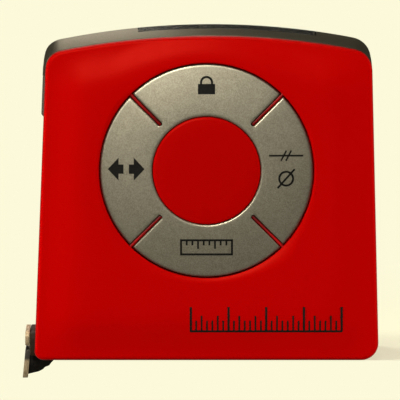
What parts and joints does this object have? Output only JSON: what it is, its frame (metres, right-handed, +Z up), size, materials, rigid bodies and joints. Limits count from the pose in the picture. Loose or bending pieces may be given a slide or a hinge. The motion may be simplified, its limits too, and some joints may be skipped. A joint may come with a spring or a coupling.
{
  "type": "tape measure",
  "caption": "Pocket tape measure with an electronic display: red case, round key ring, steel blade on a sprung drum, end hook, thumb lock and belt clip.",
  "frame": {"origin": "centre of the case's flat base", "axes": "+Z up from the base; the keys face -Y; the blade leaves the case towards -X"},
  "size_m": [0.0727, 0.0486, 0.072],
  "materials": {
    "red_case": "satin moulded polycarbonate",
    "dark_bezel": "satin moulded plastic",
    "window": "smoked clear",
    "lcd": "liquid crystal",
    "circuit_board": "solder mask",
    "flex": "polyimide",
    "silver_key": "metallic paint",
    "bright_steel": "plain",
    "chip": "moulded",
    "black_plastic": "moulded",
    "white_nylon": "moulded",
    "yellow_blade": "lacquered steel",
    "spring_steel": "blued",
    "hook_steel": "dull nickel",
    "lock_plastic": "ribbed",
    "lock_steel": "plain",
    "soft_black": "matt",
    "cell_wrap": "printed sleeve",
    "black_screw": "black oxide",
    "clip_steel": "satin"
  },
  "bodies": {
    "case": {"front_cover": "red_case", "rear_cover": "red_case", "top_bezel": "dark_bezel", "display_window": "window", "display_panel": "lcd", "display_board": "circuit_board", "display_cable": "flex", "key_hub": "silver_key", "key_domes": "bright_steel", "main_board": "circuit_board", "board_chips": "chip", "board_screws": "bright_steel", "drum_divider": "black_plastic", "drum_shaft": "bright_steel", "thrust_washers": "white_nylon", "mouth_bumper": "soft_black", "mouth_liner": "white_nylon", "reader_board": "circuit_board", "reader_sensor": "chip", "battery": "cell_wrap", "battery_contacts": "bright_steel", "case_screws": "black_screw", "belt_clip_foot": "clip_steel", "clip_screw": "black_screw"},
    "drum": {"blade_drum": "white_nylon", "drum_cap": "white_nylon", "blade_coil": "yellow_blade", "power_spring": "spring_steel"},
    "blade": {"blade_tongue": "yellow_blade", "hook_rivets": "bright_steel"},
    "hook": {"end_hook": "hook_steel"},
    "lock": {"lock_button": "lock_plastic", "lock_arm": "lock_steel", "lock_shoe": "soft_black"},
    "hold": {"hold_key": "silver_key"},
    "units": {"units_key": "silver_key"},
    "offset": {"offset_key": "silver_key"},
    "centre": {"centre_key": "silver_key"},
    "door": {"battery_door": "red_case"},
    "clip": {"belt_clip_tongue": "clip_steel"}
  },
  "joints": [
    {"name": "blade_pull", "type": "slide", "parent": "case", "child": "blade", "axis": [-1, 0, 0], "range_m": [0, 4.88], "stiffness_N_per_m": 0.5, "springref_m": -6, "deforming": ["blade_tongue", "power_spring"]},
    {"name": "drum_spin", "type": "hinge", "parent": "case", "child": "drum", "pos_m": [-0.0075, 0.0025, 0.0248], "axis": [0, 1, 0], "range_deg": [0, 15142]},
    {"name": "hook_play", "type": "slide", "parent": "blade", "child": "hook", "axis": [-1, 0, 0], "range_m": [0, 0.0009]},
    {"name": "lock_slide", "type": "slide", "parent": "case", "child": "lock", "axis": [-0.0385, 0, -0.9993], "range_m": [0, 0.0055]},
    {"name": "hold_press", "type": "hinge", "parent": "case", "child": "hold", "pos_m": [0, -0.0208, 0.0521], "axis": [-1, 0, 0], "range_deg": [0, 2.5], "stiffness_Nm_per_rad": 0.15, "deforming": ["key_domes"]},
    {"name": "units_press", "type": "hinge", "parent": "case", "child": "units", "pos_m": [0, -0.0208, 0.0257], "axis": [1, 0, 0], "range_deg": [0, 2.5], "stiffness_Nm_per_rad": 0.15, "deforming": ["key_domes"]},
    {"name": "offset_press", "type": "hinge", "parent": "case", "child": "offset", "pos_m": [-0.0132, -0.0208, 0.0389], "axis": [0, 0, -1], "range_deg": [0, 2.5], "stiffness_Nm_per_rad": 0.15, "deforming": ["key_domes"]},
    {"name": "centre_press", "type": "hinge", "parent": "case", "child": "centre", "pos_m": [0.0132, -0.0208, 0.0389], "axis": [0, 0, 1], "range_deg": [0, 2.5], "stiffness_Nm_per_rad": 0.15, "deforming": ["key_domes"]},
    {"name": "battery_door_open", "type": "hinge", "parent": "case", "child": "door", "pos_m": [0.02435, 0.0213, 0.0042], "axis": [-1, 0, 0], "range_deg": [0, 80]},
    {"name": "belt_clip_flex", "type": "hinge", "parent": "case", "child": "clip", "pos_m": [-0.011, 0.02195, 0.046], "axis": [1, 0, 0], "range_deg": [0, 8], "stiffness_Nm_per_rad": 1.5}
  ],
  "couplings": [
    {"joint": "drum_spin", "follows": "blade_pull", "rad_per_m": 53.619}
  ]
}
